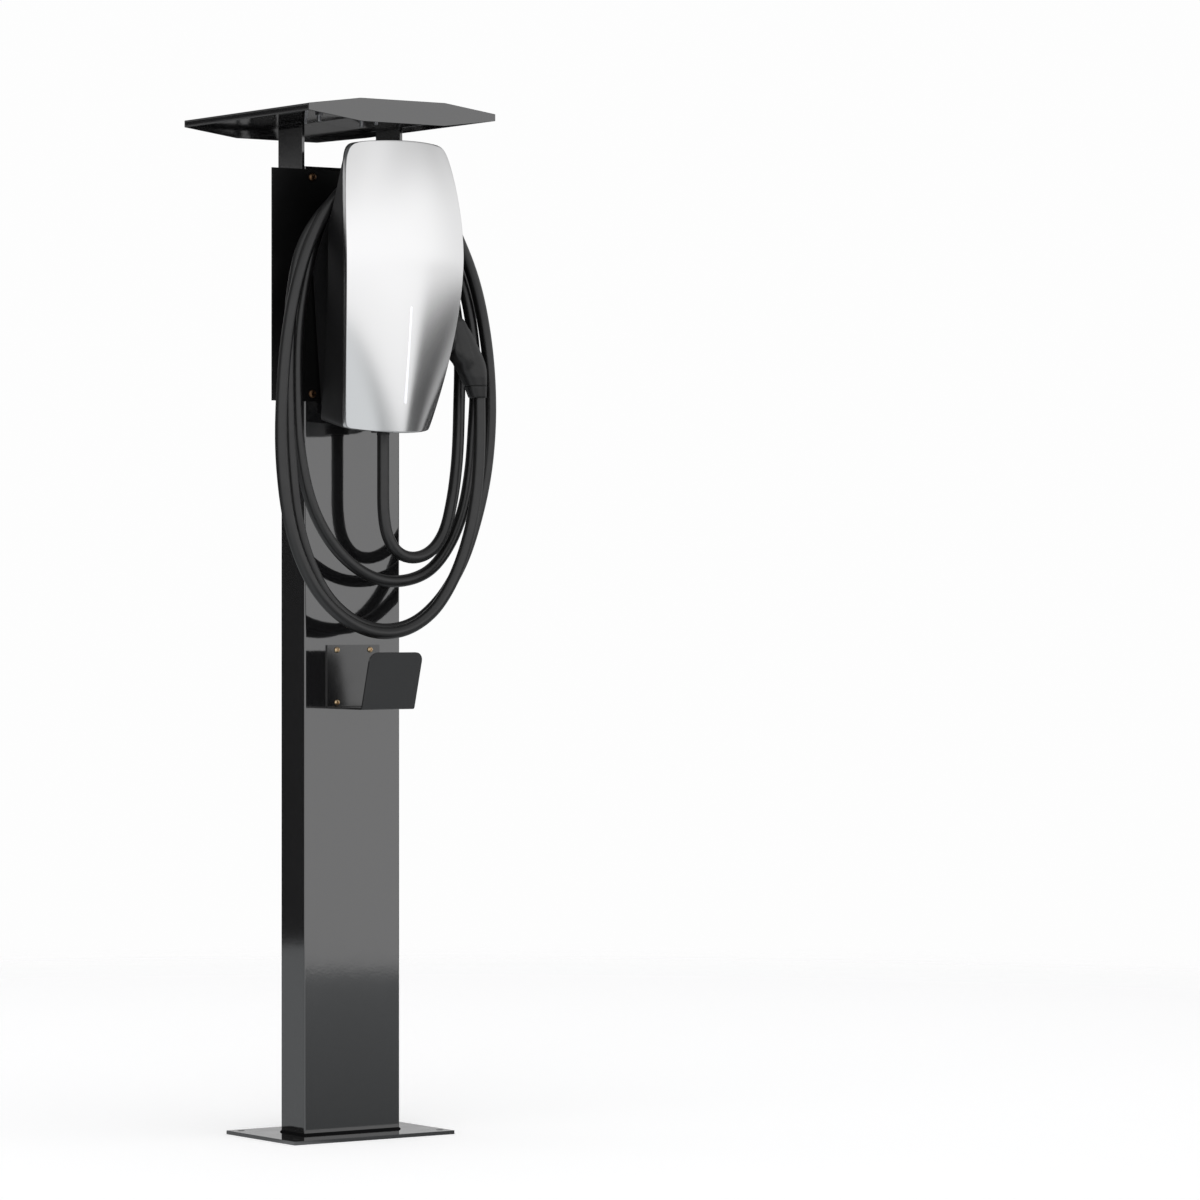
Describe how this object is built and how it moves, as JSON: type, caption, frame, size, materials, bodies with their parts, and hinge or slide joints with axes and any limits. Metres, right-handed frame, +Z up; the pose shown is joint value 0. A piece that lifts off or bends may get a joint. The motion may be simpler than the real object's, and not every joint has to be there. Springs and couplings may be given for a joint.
{
  "type": "ev charger pedestal",
  "caption": "Black steel pedestal with a folded roof, carrying a wall type car charging unit with its cable wound over it and a holster bracket below.",
  "frame": {"origin": "centre of the base plate's underside, at the mouth of the supply opening, on the floor", "axes": "+Z up along the column, -Y towards the front of the charging unit, +X to the right seen from the front"},
  "size_m": [0.3648, 0.3412, 1.3705],
  "materials": {
    "powder_coat": "gloss, fine orange peel",
    "brass_screw": "satin",
    "zinc_steel": "satin",
    "black_nylon": "matte",
    "housing_black": "satin",
    "cover_silver": "satin pearl",
    "light_lens": "translucent",
    "black_rubber": "matte",
    "cable_jacket": "satin",
    "connector_black": "fine texture",
    "button_black": "fine texture",
    "circuit_board": "satin",
    "terminal_green": "satin",
    "sensor_blue": "satin",
    "brass_spacer": "machined",
    "contact_metal": "plated"
  },
  "bodies": {
    "pedestal": {"base_plate": "powder_coat", "column": "powder_coat", "column_cap": "black_nylon", "rivet_nuts": "zinc_steel", "mount_plate": "powder_coat", "mount_plate_screws": "brass_screw", "roof_sheet": "powder_coat", "roof_front_panel": "powder_coat", "roof_rear_panel": "powder_coat", "roof_bracket": "powder_coat", "roof_bracket_screws": "zinc_steel", "roof_studs": "zinc_steel", "roof_washers": "black_nylon", "roof_nuts": "zinc_steel", "holster_bracket": "powder_coat", "holster_screws": "brass_screw", "cable_grommet": "black_rubber", "wall_bracket": "zinc_steel", "wall_bracket_screws": "zinc_steel", "rear_housing": "housing_black", "housing_screws": "zinc_steel", "front_cover": "cover_silver", "cover_seal": "black_rubber", "light_bar": "light_lens", "led_board": "circuit_board", "main_board": "circuit_board", "board_spacers": "brass_spacer", "board_screws": "zinc_steel", "relay": "black_nylon", "current_sensor": "sensor_blue", "terminal_block": "terminal_green", "controller_module": "zinc_steel", "cable_gland": "black_nylon", "gland_nut": "black_nylon", "cable_boot": "black_rubber", "connector_dock": "connector_black", "charging_cable": "cable_jacket", "connector_collar": "connector_black", "connector_shell_front": "connector_black", "connector_shell_rear": "connector_black", "shell_screws": "zinc_steel", "connector_nose": "connector_black", "contact_pins": "contact_metal", "button_spring": "zinc_steel"},
    "button": {"release_button": "button_black"}
  },
  "joints": [
    {"name": "button_press", "type": "slide", "parent": "pedestal", "child": "button", "axis": [-0.8281, 0, -0.5606], "range_m": [0, 0.0015], "stiffness_N_per_m": 500, "springref_m": -0.002, "deforming": ["button_spring"]}
  ]
}
